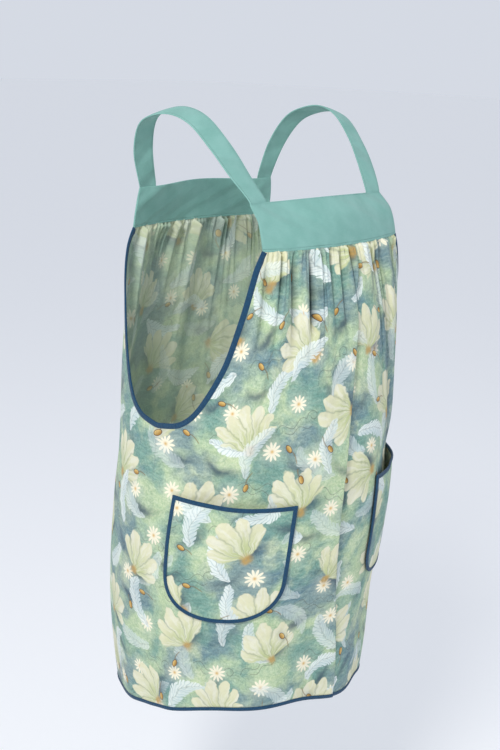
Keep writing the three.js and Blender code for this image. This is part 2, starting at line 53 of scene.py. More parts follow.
def add_floor():
    """A flat square about the origin, with its four corners against the clock from above."""
    h, z = FLOOR_HALF, FLOOR_HEIGHT
    mesh = bpy.data.meshes.new("floor")
    mesh.from_pydata([(-h, -h, z), (h, -h, z), (h, h, z), (-h, h, z)], [], [(0, 1, 2, 3)])
    floor = bpy.data.objects.new("floor", mesh)
    bpy.context.collection.objects.link(floor)
    material = bpy.data.materials.new("pale_floor")
    material.use_nodes = True
    shader = material.node_tree.nodes["Principled BSDF"]
    shader.inputs["Base Color"].default_value = (0.985, 0.985, 0.985, 1)
    shader.inputs["Roughness"].default_value = 0.9
    mesh.materials.append(material)


def add_light(name, place, target, size, power, colour):
    """A round lamp so many metres across and so many watts strong, which faces its target."""
    lamp = bpy.data.lights.new(name, "AREA")
    lamp.shape = "DISK"
    lamp.size = size
    lamp.energy = power
    lamp.color = colour
    light = bpy.data.objects.new(name, lamp)
    light.location = place
    light.rotation_euler = (Vector(target) - Vector(place)).to_track_quat("-Z", "Y").to_euler()
    bpy.context.collection.objects.link(light)


add_floor()
add_light("window", (-1.9, -0.9, 1.2), CHEST, 0.6, 38, (1.0, 0.98, 0.95))
add_light("front_fill", (1.6, -2.8, 0.6), MIDDLE, 1.6, 6, (0.93, 0.96, 1.0))
add_light("top_fill", (0.3, 1.6, 2.2), MIDDLE, 2.0, 5, (1.0, 1.0, 1.0))

world = bpy.data.worlds.new("pale_room")
bpy.context.scene.world = world
world.use_nodes = True
sky = world.node_tree.nodes["Background"]
sky.inputs["Color"].default_value = (0.74, 0.78, 0.86, 1)
sky.inputs["Strength"].default_value = 0.90
bpy.context.scene.view_settings.view_transform = "Standard"

turn, pitch, roll = np.radians((-47.3, 15.4, 2.1))
back = Vector((np.sin(turn) * np.cos(pitch), -np.cos(turn) * np.cos(pitch), np.sin(pitch)))
level = Vector((np.cos(turn), np.sin(turn), 0))
right = np.cos(roll) * level + np.sin(roll) * back.cross(level)
up = back.cross(right)
lens = bpy.data.cameras.new("camera")
lens.lens = 56.06
lens.sensor_width = 36
camera = bpy.data.objects.new("camera", lens)
pose = Matrix((right, up, back)).transposed().to_4x4()
pose.translation = AIM + back * DISTANCE
camera.matrix_world = pose
bpy.context.collection.objects.link(camera)
bpy.context.scene.camera = camera


# The two panels: printed quilting cotton, cut wide and gathered into the yokes by small hand-drawn gathers.
# They hang over a full hip in long soft folds, with one deep tuck near the middle of the front.

LENGTH = 0.816                  # shoulder to hem at the side seams
SEAM = 0.154                    # shoulder to the yokes' lower seams
UNDERARM = 0.387                # shoulder to the bottom of the armholes
HEM_LIFT, HEM_SKEW = 0.039, 0.026       # how far the hem rises in front, and leans to one side
HEM_WAVE = 0.0028               # how far the cloth waves out and in at the hem
HEM_DIP, DIP_ANGLE, DIP_BREADTH = 0.007, 0.1, 0.3       # a dip in the front hem, and where it lies
YOKE_HALF = 0.131               # half the yokes' width at the seam
GATHERED = 0.73                 # share of a panel's width that is gathered in
FAN = 0.140                     # how fast the gathers spread
HALF_CLOTH = 0.2975             # half a panel's width on the flat
COTTON = 0.0007                 # thickness of the cloth
LAST_COLUMN = 0.9985            # share across where the last narrow column at a side seam starts
ROW_SPACING = 1.45              # over 1, so that the rows are closer together at the gathers
QUARTER = np.pi / 2

# height, half width, front reach, back reach, and how oval the section is
BODY = np.array([
    (0.1020, 0.1886, 0.1118, 0.1165, 0.50),
    (0.1232, 0.1862, 0.1358, 0.1210, 0.50),
    (0.1673, 0.1831, 0.1510, 0.1295, 0.50),
    (0.2472, 0.1780, 0.1718, 0.1449, 0.60),
    (0.3370, 0.1795, 0.1817, 0.1640, 0.75),
    (0.4431, 0.1860, 0.1890, 0.1776, 0.90),
    (0.5467, 0.1960, 0.1830, 0.1912, 1.00),
    (0.6667, 0.1936, 0.1638, 0.2030, 1.00),
    (0.7662, 0.1866, 0.1601, 0.1977, 1.00),
    (0.8862, 0.1709, 0.1477, 0.1825, 1.00),
])

# share across the cloth, share down the armhole, and share round the body in front and behind
ARMHOLE = np.array([
    (0.00, 0.00, 0.000, 0.000),
    (0.13, 0.12, 0.146, 0.190),
    (0.33, 0.38, 0.348, 0.416),
    (0.50, 0.63, 0.483, 0.539),
    (0.70, 0.86, 0.663, 0.674),
    (0.86, 0.96, 0.812, 0.815),
    (1.00, 1.00, 1.000, 1.000),
])

# the long tuck's place across at the top and the foot, and its length as a share of the height
TUCK_TOP, TUCK_FOOT, TUCK_LENGTH = 0.05, 0.02, 1.2
TUCK_STEP, TUCK_PAST = 0.06, -0.5       # how sharply it steps down at its line, and how high it is past it
# how far the long tuck strays from a straight line, by share of the way down
WANDER = np.array([(0.00, 0.00), (0.20, -0.09), (0.45, -0.145), (0.62, -0.12), (0.80, -0.03), (1.00, 0.00)])

# place across at the top and the foot, share of the height at its end, depth, breadth, and 1 for the tuck
FRONT_FOLDS = (
    (-0.32, -0.33, 0.20, -0.0210, 0.019, 0),
    (-0.46, -0.45, 0.22, -0.0080, 0.020, 0),
    (-0.67, -0.66, 0.24, -0.0080, 0.022, 0),
    (-0.08, -0.10, 0.20, -0.0080, 0.018, 0),
    (TUCK_TOP, TUCK_FOOT, TUCK_LENGTH, 0.0050, 0.110, 1),
    (0.34, 0.42, 0.62, -0.0060, 0.060, 0),
    (0.60, 0.62, 0.35, -0.0050, 0.045, 0),
    (-0.22, -0.30, 0.85, 0.0030, 0.080, 0),
    (-0.55, -0.62, 0.70, 0.0030, 0.090, 0),
)
BACK_FOLDS = (
    (-0.52, -0.60, 0.55, -0.0070, 0.060, 0),
    (-0.20, -0.22, 0.90, 0.0050, 0.080, 0),
    (0.02, 0.02, 0.60, -0.0070, 0.060, 0),
    (0.24, 0.26, 0.95, 0.0050, 0.080, 0),
    (0.50, 0.62, 0.60, -0.0070, 0.060, 0),
)

# long waves under the gathers: count across a panel, depth, how slowly they fade, and how far they are aside
WAVES = ((8.6, 0.0026, 0.7, 0.15), (5.3, 0.0026, 1.9, 0.40))
# creases: count across a panel, depth, how slowly they fade, how far they drift sideways, and how narrow
CREASES = (
    (77, 0.0044, 0.011, 3, 1),
    (37, 0.0052, 0.027, 6, 3),
    (23, 0.0074, 0.045, -9, 5),
    (13, 0.0084, 0.080, 4, 7),
)
GATHER_END = 0.08                       # breadth across where the gathers die away at the yoke's corners
CALM_FROM, CALM_OVER = 0.84, 0.14       # where the folds die away towards the side seams
FADE_FROM = 0.45                        # share of a fold's length where it starts to die away downwards
SHADE_FROM, SHADE_OVER = 0.0015, 0.013  # the depth of a fold where its painted shade starts and grows

FRONT = dict(side=-1, reach=2, round=2, folds=FRONT_FOLDS)
BACK = dict(side=1, reach=3, round=3, folds=BACK_FOLDS)


def mix(a, b, share):
    """From a to b in a straight line: a plus the share of b less a."""
    return a + (b - a) * share


def ease(x):
    """Rises from 0 to 1 as three x squared minus two x cubed."""
    x = np.clip(x, 0, 1)
    return x * x * (3 - 2 * x)


def read(rows, x, column):
    """The smooth curve through a column of a table, keyed by its first: cubic between rows, with the slope
    at each row taken from its two neighbours."""
    keys, values = rows[:, 0], rows[:, column]
    last = len(keys) - 1
    before = np.maximum(np.arange(last + 1) - 1, 0)
    after = np.minimum(np.arange(last + 1) + 1, last)
    slopes = (values[after] - values[before]) / (keys[after] - keys[before])
    i = np.clip(np.searchsorted(keys, x, side="left") - 1, 0, last - 1)
    span = keys[i + 1] - keys[i]
    t = np.clip((x - keys[i]) / span, 0, 1)
    pull = span * t * (1 - t)
    return mix(values[i], values[i + 1], ease(t)) + pull * ((1 - t) * slopes[i] - t * slopes[i + 1])


def body(face, angle, z):
    """The smooth body: x is the half width times the sine of the angle, and y the reach times its cosine to
    a power of 1 or less, which flattens the front and the back."""
    reach = face["side"] * read(BODY, -z, face["reach"])
    bow = np.maximum(np.cos(angle), 0) ** read(BODY, -z, 4)
    return np.stack([read(BODY, -z, 1) * np.sin(angle), reach * bow, z + 0 * angle], -1)


CLIMB = 0.0008                  # step up and down a surface when its slopes are measured


def differences(surface, face, angle, z, turn):
    """The differences across and up a surface, and the angle between the two ends of the first."""
    low, high = np.maximum(angle - turn, -QUARTER), np.minimum(angle + turn, QUARTER)
    across = surface(face, high, z) - surface(face, low, z)
    rise = surface(face, angle, z + CLIMB) - surface(face, angle, z - CLIMB)
    return across, rise, high - low


def outward(surface, face, angle, z):
    """The unit normal: the cross product of the differences up and across the surface."""
    across, rise, _ = differences(surface, face, angle, z, turn=0.003)
    normal = face["side"] * np.cross(rise, across)
    return normal / np.linalg.norm(normal, axis=-1, keepdims=True)


def edge_angle(half_width, z):
    """The angle at which the body is so wide: the sine is the share of its half width."""
    return np.arcsin(half_width / read(BODY, -z, 1))


SEAM_ANGLE = edge_angle(YOKE_HALF, np.array(-SEAM))


def fanned(fall):
    """How far the gathers have opened out at a fall below the seam: 1 less a falling exponential."""
    return 1 - np.exp(-np.maximum(fall, 0) / FAN)


def tuck_line(share):
    """Where the long tuck lies across the front, from -1 at the right side seam to 1."""
    return mix(TUCK_TOP, TUCK_FOOT, np.clip(share / TUCK_LENGTH, 0, 1)) + read(WANDER, share, 1)


def place_across(angle, fall):
    """From -1 to 1 across the cloth: the angle over the widest one, which opens out below the gathers."""
    return angle / mix(SEAM_ANGLE / GATHERED, QUARTER, fanned(fall))


def fold_height(face, angle, z):
    """The folds, as a height over the body. Two long waves and four sets of narrow creases, a sine to a
    power, die away below the seam as exponentials of uneven length. Bell-shaped hills and valleys follow a
    line down the cloth, and past its line the tuck drops below the body by half its height. Slow waves grow
    towards the hem. All but those start lower at the seam, which holds the cloth flat."""
    fall = -z - SEAM
    share = fall / (LENGTH - SEAM)
    across = place_across(angle, fall)
    gathered = 1 - ease((np.abs(across) - GATHERED + GATHER_END) / GATHER_END)
    calm = 1 - ease((np.abs(across) - CALM_FROM) / CALM_OVER)
    height = 0 * angle
    for count, size, fade, shift in WAVES:
        rise = mix(0.45, 1, ease(fall / 0.025)) * np.exp(-fall / (fade * FAN))
        height = height + gathered * rise * size * np.sin(np.pi * count * (across + shift))
    wobble = 2.1 * np.sin(9 * across + 2) + 1.5 * np.sin(23 * across)
    for count, size, fade, drift, sharp in CREASES:
        crease = (0.5 + 0.5 * np.sin(np.pi * count * across + wobble + drift * fall)) ** sharp
        run = fade * (1 + 0.45 * np.sin(7.1 * across + count) + 0.3 * np.sin(19 * across - count))
        height = height + gathered * size * np.exp(-fall / run) * (0.25 - crease)
    for top, foot, end, depth, breadth, tuck in face["folds"]:
        down = share / end
        line = tuck_line(share) if tuck else mix(top, foot, np.clip(down, 0, 1))
        off = (across - line) / breadth
        bell = np.exp(-off * off)
        if tuck:
            bell = bell * mix(1, TUCK_PAST, ease(off / TUCK_STEP + 0.5))
        strength = mix(0.35, 1, ease(fall / 0.03)) * (1 - ease((down - FADE_FROM) / (1 - FADE_FROM)))
        height = height + calm * strength * depth * bell
    height = height + calm * HEM_WAVE * ease((share - 0.3) / 0.7) * np.sin(13 * across + 0.6)
    held_flat = mix(0.06, 1, ease((fall - 0.0008) / 0.004))
    return held_flat * np.where(fall < 0, 0, height)


POCKET_WIDTH, POCKET_HEIGHT = 0.160, 0.165
POCKET_DROP = {-1: 0.472, 1: 0.459}     # shoulder to the corners of the mouth, by hand
POCKET_MIDDLE, POCKET_TURN = -9.75, 45  # degrees to the point between them, and from there to each
POCKET_SINK = 0.008             # how far the panel sinks in behind a pocket's mouth
SINK_ABOVE = 0.045              # how far above the mouth it starts to


def pocket_place(hand):
    """The angle of a pocket's middle, the drop to its corners, and the turn for each metre across."""
    centre = np.radians(POCKET_MIDDLE + POCKET_TURN * hand)
    drop = POCKET_DROP[hand]
    z = np.array(-drop - POCKET_HEIGHT / 2)
    turn = 0.01
    arc = np.linalg.norm(body(FRONT, centre + turn, z) - body(FRONT, centre - turn, z))
    return centre, drop, 2 * turn / arc


POCKETS = {-1: pocket_place(-1), 1: pocket_place(1)}


def drape(face, angle, z):
    """The cloth as the pockets follow it: the body, lifted along its normal by the folds."""
    return body(face, angle, z) + outward(body, face, angle, z) * fold_height(face, angle, z)[..., None]


def cloth(face, angle, z):
    """The cloth itself, which also sinks in behind the pockets' mouths, most in the middle of each."""
    sink = 0 * angle
    if face["side"] < 0:
        for centre, drop, rate in POCKETS.values():
            aside = (angle - centre) / rate * 2 / POCKET_WIDTH
            down = -z - drop
            inside = np.clip(1 - down / POCKET_HEIGHT, 0, 1) ** 1.5
            along = np.where(down < 0, np.exp(-(down / SINK_ABOVE) ** 2), inside)
            sink = sink + POCKET_SINK * np.clip(1 - aside * aside, 0, 1) * along
    return drape(face, angle, z) - outward(body, face, angle, z) * sink[..., None]


def column_top(face, across):
    """Where a column of cloth starts: along the yoke seam while it is gathered, then down the armhole."""
    cut = np.clip((np.abs(across) - GATHERED) / (1 - GATHERED), 0, 1)
    on_armhole = np.sign(across) * mix(SEAM_ANGLE, QUARTER, read(ARMHOLE, cut, face["round"]))
    angle = np.where(np.abs(across) <= GATHERED, SEAM_ANGLE * across / GATHERED, on_armhole)
    return angle, -SEAM - (UNDERARM - SEAM) * read(ARMHOLE, cut, 1)


def hem_height(face, angle):
    """The hem: high in front and low behind as a cosine, leaning as a sine, with a bell-shaped dip."""
    dip = HEM_DIP * np.exp(-((angle - DIP_ANGLE) / DIP_BREADTH) ** 2) if face["side"] < 0 else 0
    return -LENGTH - face["side"] * HEM_LIFT * np.cos(angle) - HEM_SKEW * np.sin(angle) - dip


def add_surface(name, points, uv, ring=False, loop=False, **values):
    """A mesh on a grid of points, [along, across]. ring joins the last row across to the first, as round a
    band or a tape, and loop joins the last one along to the first. An open ring gets a flat face at each
    end. uv is a grid that goes one further where the mesh is joined, and values are numbers at points."""
    count, rows = points.shape[:2]
    c = np.arange(count if loop else count - 1)[:, None]
    r = np.arange(rows if ring else rows - 1)[None, :]
    corners = [(c, r), (c, r + 1), (c + 1, r + 1), (c + 1, r)]
    faces = np.stack([a % count * rows + b % rows for a, b in corners], -1).reshape(-1, 4).tolist()
    flat = np.stack([uv[a, b] for a, b in corners], 2).reshape(-1, 2)
    if ring and not loop:
        faces += [list(range(rows))[::-1], list(range((count - 1) * rows, count * rows))]
        flat = np.concatenate([flat, uv[0, :rows][::-1], uv[-1, :rows]])
    mesh = bpy.data.meshes.new(name)
    mesh.from_pydata(points.reshape(-1, 3).tolist(), [], faces)
    mesh.uv_layers.new(name="cloth").data.foreach_set("uv", flat.ravel())
    mesh.polygons.foreach_set("use_smooth", np.arange(len(mesh.polygons)) < c.size * r.size)
    for key, value in values.items():
        mesh.attributes.new(key, "FLOAT", "POINT").data.foreach_set("value", value.ravel())
    piece = bpy.data.objects.new(name, mesh)
    bpy.context.collection.objects.link(piece)
    return piece


def show(piece, node):
    """The piece stands still with the one body, and stands for a solid, whose part in the model is hidden.
    """
    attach(piece, "root")
    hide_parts(node)


def thicken(piece):
    """Gives a single layer of cloth its thickness, half on each side, and marks the wrong side."""
    wrong_side = piece.vertex_groups.new(name="wrong_side")
    solid = piece.modifiers.new("thickness", "SOLIDIFY")
    solid.thickness = COTTON
    solid.offset = 0
    solid.shell_vertex_group = wrong_side.name


def add_panel(name, face, node, gathered, plain, rows):
    """A panel: columns of cloth that fan out from the gathers, each from its top down to the hem. gathered
    and plain count the columns under the yoke and beside it. The print runs on round the right side seam.
    The flat area is the cloth's width times the mean length of the columns."""
    sides = np.append(np.linspace(GATHERED, LAST_COLUMN, plain - 1), 1)
    across = np.concatenate([-sides[::-1], np.linspace(-GATHERED, GATHERED, gathered)[1:-1], sides])
    across = across[:, None] * -face["side"]
    down = np.linspace(0, 1, rows)[None, :] ** ROW_SPACING
    top_angle, top_z = column_top(face, across)
    fall = (top_z - hem_height(face, QUARTER * across)) * down
    z = top_z - fall
    angle = mix(top_angle, QUARTER * across, fanned(fall))
    below_seam = -z - SEAM
    side_place = place_across(QUARTER, np.maximum(below_seam, UNDERARM - SEAM))
    place = -face["side"] * HALF_CLOTH * place_across(angle, below_seam) / side_place
    if face["side"] > 0:
        place = place - 2 * HALF_CLOTH
    uv = np.stack([place, z], -1)
    past_tuck = across - tuck_line(below_seam / (LENGTH - SEAM)) if face["side"] < 0 else 0 * z - 1
    # painted shade: the deeper a fold, the darker the cloth's colour is painted there
    sunken = np.clip((-fold_height(face, angle, z) - SHADE_FROM) / SHADE_OVER, 0, 1)
    panel = add_surface(name, cloth(face, angle, z), uv, past_tuck=past_tuck, sunken=sunken)
    thicken(panel)
    show(panel, node)
    return panel, HALF_CLOTH * abs(float(np.trapz(fall[:, -1], across[:, 0])))


front_panel, front_area = add_panel(
    "cloth_front_panel", FRONT, "front_panel", gathered=320, plain=26, rows=118)
back_panel, back_area = add_panel(
    "cloth_back_panel", BACK, "back_panel", gathered=280, plain=24, rows=110)


class Wire:
    """A socket in a material's nodes, so that shader maths reads as plain arithmetic."""

    def __init__(self, paint, socket):
        self.paint, self.socket = paint, socket

    def math(self, operation, *others):
        return self.paint.node("ShaderNodeMath", {"operation": operation}, [self, *others])

    def __add__(self, other):
        return self.math("ADD", other)

    def __sub__(self, other):
        return self.math("SUBTRACT", other)

    def __rsub__(self, other):
        return self.paint.node("ShaderNodeMath", {"operation": "SUBTRACT"}, [other, self])

    def __mul__(self, other):
        return self.math("MULTIPLY", other)

    def __truediv__(self, other):
        return self.math("DIVIDE", other)

    def __neg__(self):
        return self * -1

    def __abs__(self):
        return self.math("ABSOLUTE")

    __radd__ = __add__
    __rmul__ = __mul__

    def rise(self, low, high):
        """0 below low and 1 above high, with a soft rise between them."""
        values = {"Value": self, "From Min": low, "From Max": high}
        return self.paint.node("ShaderNodeMapRange", {"interpolation_type": "SMOOTHSTEP"}, values)

    def bell(self, width):
        """1 at 0, and e to the minus one at a distance of width."""
        scaled = self / width
        return (-(scaled * scaled)).math("EXPONENT")


CENTIMETRES = 100               # to a metre of cloth
PLAIN_WEAVE, BIAS_WEAVE = 0.072, 0.08   # centimetres to two threads
THREAD_DEPTH = 0.00005          # how far the threads stand out


class Paint:
    """A material. Keywords set the shader's own sockets."""

    def __init__(self, name, **constants):
        self.material = bpy.data.materials.new(name)
        self.material.use_nodes = True
        self.tree = self.material.node_tree
        self.shader = self.tree.nodes["Principled BSDF"]
        for key, value in constants.items():
            self.shader.inputs[key.replace("_", " ")].default_value = value

    def node(self, kind, settings=None, values=(), output=0):
        """Adds a node with its settings, then the values or links of its sockets. Returns one output."""
        node = self.tree.nodes.new(kind)
        for key, value in (settings or {}).items():
            setattr(node, key, value)
        for key, value in values.items() if isinstance(values, dict) else enumerate(values):
            self.plug(node.inputs[key], value)
        return Wire(self, node.outputs[output])

    def plug(self, socket, value):
        if isinstance(value, Wire):
            self.tree.links.new(value.socket, socket)
        elif isinstance(value, tuple) and len(socket.default_value) == 4:
            socket.default_value = (*value, 1)
        else:
            socket.default_value = value

    def to_shader(self, name, value):
        self.plug(self.shader.inputs[name], value)

    def attribute(self, name):
        return self.node("ShaderNodeAttribute", {"attribute_name": name}, output=2)

    def cloth_place(self):
        """Centimetres across and down the flat cloth."""
        uv = self.node("ShaderNodeUVMap", {"uv_map": "cloth"})
        return self.scaled(uv, CENTIMETRES)

    def scaled(self, vector, size):
        return self.node("ShaderNodeVectorMath", {"operation": "SCALE"}, {0: vector, "Scale": size})

    def moved(self, vector, by):
        return self.node("ShaderNodeVectorMath", {"operation": "ADD"}, [vector, by])

    def stretched(self, vector, by):
        return self.node("ShaderNodeVectorMath", {"operation": "MULTIPLY"}, [vector, by])

    def split(self, vector):
        parts = self.node("ShaderNodeSeparateXYZ", None, [vector])
        return [Wire(self, parts.socket.node.outputs[i]) for i in range(3)]

    def vector(self, x, y, z=0.0):
        return self.node("ShaderNodeCombineXYZ", None, [x, y, z])

    def noise(self, place, scale, detail=2.0, rough=0.5, output=0):
        values = {"Vector": place, "Scale": scale, "Detail": detail, "Roughness": rough}
        return self.node("ShaderNodeTexNoise", None, values, output)

    def blend(self, share, a, b, way="MIX"):
        """Colour a turns into b by share."""
        settings = {"data_type": "RGBA", "blend_type": way}
        return self.node("ShaderNodeMix", settings, {0: share, 6: a, 7: b}, 2)

    def bump(self, height, distance, under=None):
        """A bump of so many metres, over another one."""
        values = {"Height": height, "Distance": distance}
        if under is not None:
            values["Normal"] = under
        return self.node("ShaderNodeBump", None, values)

    def weave(self, place, pitch, under):
        """Threads that cross at right angles, over a bump: two sines with one period to two threads."""
        x, y, _ = self.split(self.scaled(place, 2 * np.pi / pitch))
        self.to_shader("Normal", self.bump(x.math("SINE") * y.math("SINE"), THREAD_DEPTH, under))


PRINT_STEP = 3.4                # centimetres of the print that the long tuck hides

# the print's colours in linear light: the washes, then the flowers and what is drawn over them, and painted
# shade for deep folds
TEAL, SAGE, SLATE = (0.165, 0.318, 0.264), (0.47, 0.58, 0.35), (0.122, 0.206, 0.266)
STRAW, MIST = (0.70, 0.76, 0.46), (0.66, 0.78, 0.61)
DARK_GRAIN, LIGHT_GRAIN = (0.22, 0.27, 0.28), (0.75, 0.75, 0.75)
# FOLD_SHADE is painted shade, laid into the colour of the deepest folds where little light gets in
STROKE, DEEP_SLATE, FOLD_SHADE = (0.030, 0.060, 0.100), (0.035, 0.065, 0.105), (0.012, 0.022, 0.026)
PETAL_FOOT, PETAL, PETAL_STREAK = (0.50, 0.56, 0.27), (0.75, 0.73, 0.50), (0.83, 0.82, 0.70)
PETAL_LINE, PETAL_RIM, BLOSSOM_HEART = (0.30, 0.34, 0.22), (0.45, 0.40, 0.22), (0.50, 0.31, 0.09)
LEAF, LEAF_GAP, LEAF_SHADE, LEAF_RIB = (
    (0.80, 0.86, 0.82), (0.32, 0.46, 0.50), (0.42, 0.56, 0.60), (0.25, 0.30, 0.28))
HALO, DAISY, DAISY_HEART = (0.90, 0.92, 0.70), (0.90, 0.85, 0.66), (0.66, 0.40, 0.10)
STALK, BUD_SHADE, BUD_RIM = (0.24, 0.15, 0.05), (0.05, 0.12, 0.20), (0.10, 0.07, 0.05)
DARK_OCHRE, OCHRE, TENDRIL = (0.36, 0.19, 0.04), (0.72, 0.49, 0.17), (0.10, 0.11, 0.10)
WRONG_SIDE = (0.50, 0.58, 0.46)


class Print(Paint):
    """The printed cotton: watercolour washes with blossoms, leaf sprays, daisies, buds and tendrils over
    them, all placed in centimetres on the flat cloth."""

    def scatter(self, place, size, seed, jitter, turn, sway):
        """Cells of a given width and height, each row moved half a cell along. In each cell, the place
        measured from a centre that is moved and turned at random, and a random number."""
        x, y, _ = self.split(place)
        row = (y / size[1]).math("FLOOR")
        along = x / size[0] + row * 0.5 + seed * 0.37
        column = along.math("FLOOR")
        cell = self.vector(column, row, float(seed))
        chance = self.node("ShaderNodeTexWhiteNoise", {"noise_dimensions": "3D"}, {"Vector": cell}, 1)
        a, b, c = self.split(chance)
        u = (along - column - 0.5 - (a - 0.5) * jitter) * size[0]
        v = (y / size[1] - row - 0.5 - (b - 0.5) * jitter) * size[1]
        angle = (c - 0.5) * sway + turn
        cos, sin = angle.math("COSINE"), angle.math("SINE")
        return u * cos + v * sin, v * cos - u * sin, (a * 7.3 + b * 3.7).math("FRACT")

    def washes(self, place):
        """Teal, pale green, slate and cream in soft clouds, with brush marks and grain."""
        clouds = self.noise(place, 0.13, 4.0, 0.55)
        colour = self.blend(clouds.rise(0.40, 0.60), TEAL, SAGE)
        slate = self.noise(self.moved(place, (31, 7, 0)), 0.12, 3.0, 0.5).rise(0.46, 0.62)
        colour = self.blend(slate * 0.78, colour, SLATE)
        pale = self.noise(self.moved(place, (5, 53, 0)), 0.16, 4.0, 0.6).rise(0.52, 0.70)
        colour = self.blend(pale * 0.60, colour, STRAW)
        brush = self.noise(self.stretched(place, (0.6, 2.2, 1)), 0.9, 4.0, 0.65)
        colour = self.blend(brush.rise(0.35, 0.75) * 0.26, colour, MIST)
        grain = self.noise(place, 3.5, 4.0, 0.7).rise(0.3, 0.7)
        return self.blend(0.45, colour, self.blend(grain, DARK_GRAIN, LIGHT_GRAIN), "OVERLAY")

    def shadow(self, colour, place, size, seed):
        """Soft slate strokes under the flowers: bells that are four times as long as they are wide."""
        u, v, chance = self.scatter(place, size, seed, 0.5, 0.2, 2.0)
        bent = v - u * u * 0.12
        stroke = u.bell(2.1) * bent.bell(0.62) * (chance * 0.5 + 0.5)
        return self.blend(stroke * 0.82, colour, STROKE)

    def blossom(self, colour, place, size, seed, turn):
        """A fan of five petals. In polar places about its foot, each petal's tip follows one minus a square,
        and thin dark lines lie between the petals."""
        u, v, chance = self.scatter(place, size, seed, 0.30, turn, 2.6)
        v = v + 3.0
        far = (u * u + v * v).math("SQRT")
        angle = u.math("ARCTAN2", v)
        petal = angle * (1.9 + chance * 0.6)
        off = petal - petal.math("ROUND")
        tip = (1 - angle * angle * 0.22) * (1 - off * off * 0.9) * 6.2
        inside = (tip - far).rise(0, 0.22) * ((1.22 - abs(angle)) * far).rise(0, 0.30)
        streak = self.noise(self.vector(angle * 5.5 + seed, far * 0.22, chance * 9), 1.6, 3.0, 0.6)
        cream = self.blend((far / 5.6).rise(0.10, 0.90), PETAL_FOOT, PETAL)
        cream = self.blend(streak.rise(0.42, 0.62) * 0.55, cream, PETAL_STREAK)
        cream = self.blend((0.5 - abs(off)).bell(0.07) * 0.55, cream, PETAL_LINE)
        cream = self.blend((tip - far).bell(0.16) * 0.30, cream, PETAL_RIM)
        shade = ((u - 1.1).bell(1.7) * (v - 0.9).bell(1.1)) * 0.85
        colour = self.blend(shade, colour, DEEP_SLATE)
        colour = self.blend(inside * 0.94, colour, cream)
        heart = (far - 0.25).bell(0.42)
        return self.blend(heart * 0.85, colour, BLOSSOM_HEART)

    def spray(self, colour, place, size, seed, turn):
        """A curved leaf spray: a lens about a bent rib, notched by leaflets that slant away from it."""
        u, v, chance = self.scatter(place, size, seed, 0.35, turn, 3.4)
        u = u - v * v * 0.10 + 0.45
        half = (1 - (v / 3.6) * (v / 3.6)).math("MAXIMUM", 0.0).math("SQRT") * 1.15
        slant = (v - abs(u) * 1.1) * 1.7
        notch = abs(slant - slant.math("ROUND")) * 2
        out = abs(u) / (half + 0.05)
        inside = (half - abs(u)).rise(0, 0.12) * (1 - (notch * out).rise(0.50, 0.68))
        leaf = self.blend(notch.rise(0.5, 1) * 0.5, LEAF, LEAF_GAP)
        leaf = self.blend(u.rise(-0.1, 0.5) * 0.35, leaf, LEAF_SHADE)
        leaf = self.blend(u.bell(0.07) * 0.5, leaf, LEAF_RIB)
        return self.blend(inside * (0.35 + chance * 0.6), colour, leaf)

    def daisy(self, colour, place, size, seed):
        """A small cream flower: eleven narrow petals, with tips that follow a cosine's size, and a halo."""
        u, v, chance = self.scatter(place, size, seed, 0.45, 0.3, 3.0)
        far = (u * u + v * v).math("SQRT")
        petals = abs((u.math("ARCTAN2", v) * 5.5).math("COSINE"))
        tip = (petals * 0.62 + 0.38) * (1.05 + chance * 0.35)
        shown = chance.rise(0.40, 0.41)
        colour = self.blend(far.bell(1.25) * shown * 0.45, colour, HALO)
        colour = self.blend((tip - far).rise(0, 0.14) * shown, colour, DAISY)
        return self.blend(far.bell(0.24) * shown * 0.9, colour, DAISY_HEART)

    def bud(self, colour, place, size, seed):
        """A small ochre bud: an ellipse with a dark rim, on a thin bent stalk."""
        u, v, chance = self.scatter(place, size, seed, 0.5, 0.4, 5.0)
        shown = chance.rise(0.66, 0.67)
        long, wide = u / 0.58, v / 0.33
        far = (long * long + wide * wide).math("SQRT")
        stalk = (v - (u * 1.7).math("SINE") * 0.22).bell(0.07) * u.rise(0.45, 0.6) * (1 - u.rise(2.0, 2.5))
        colour = self.blend(stalk * shown * 0.8, colour, STALK)
        colour = self.blend(far.bell(1.9) * shown * 0.35, colour, BUD_SHADE)
        colour = self.blend((1.12 - far).rise(0, 0.12) * shown, colour, BUD_RIM)
        ochre = self.blend(v.rise(-0.3, 0.3), DARK_OCHRE, OCHRE)
        return self.blend((0.94 - far).rise(0, 0.15) * shown, colour, ochre)

    def tendril(self, colour, place, size, seed):
        """Thin curling lines in grey: a sine wave that ends in a coil."""
        u, v, chance = self.scatter(place, size, seed, 0.35, 0.1, 0.9)
        shown = chance.rise(0.25, 0.26) * 0.62
        fine = 0.055
        run = 1 - abs(u + 0.8).rise(2.3, 2.4)
        wave = (v - (u * 2.1).math("SINE") * 0.45).bell(fine) * run
        second = (v + 0.85 - (u * 2.6 + 1.2).math("SINE") * 0.30).bell(fine) * (1 - abs(u).rise(1.9, 2.0))
        x, y = u - 2.3, v - 0.15
        coil_far = (x * x + y * y).math("SQRT")
        coil = (coil_far - 0.28 - (y.math("ARCTAN2", x) + np.pi) * 0.085).bell(fine)
        lines = wave.math("MAXIMUM", second).math("MAXIMUM", coil)
        return self.blend(lines * shown, colour, TENDRIL)


cotton = Print("printed_cotton", Sheen_Weight=0.1, Sheen_Roughness=0.5, Specular_IOR_Level=0.25)
flat_place = cotton.cloth_place()
past = cotton.attribute("past_tuck")
step_aside = cotton.vector(past.rise(-0.0005, 0.0005) * PRINT_STEP, 0.0, 0.0)
on_print = cotton.moved(flat_place, step_aside)
wander = cotton.moved(cotton.noise(on_print, 0.30, 3.0, 0.6, output=1), (-0.5, -0.5, -0.5))
wandering = cotton.moved(on_print, cotton.scaled(wander, 2.2))
ink = cotton.washes(wandering)
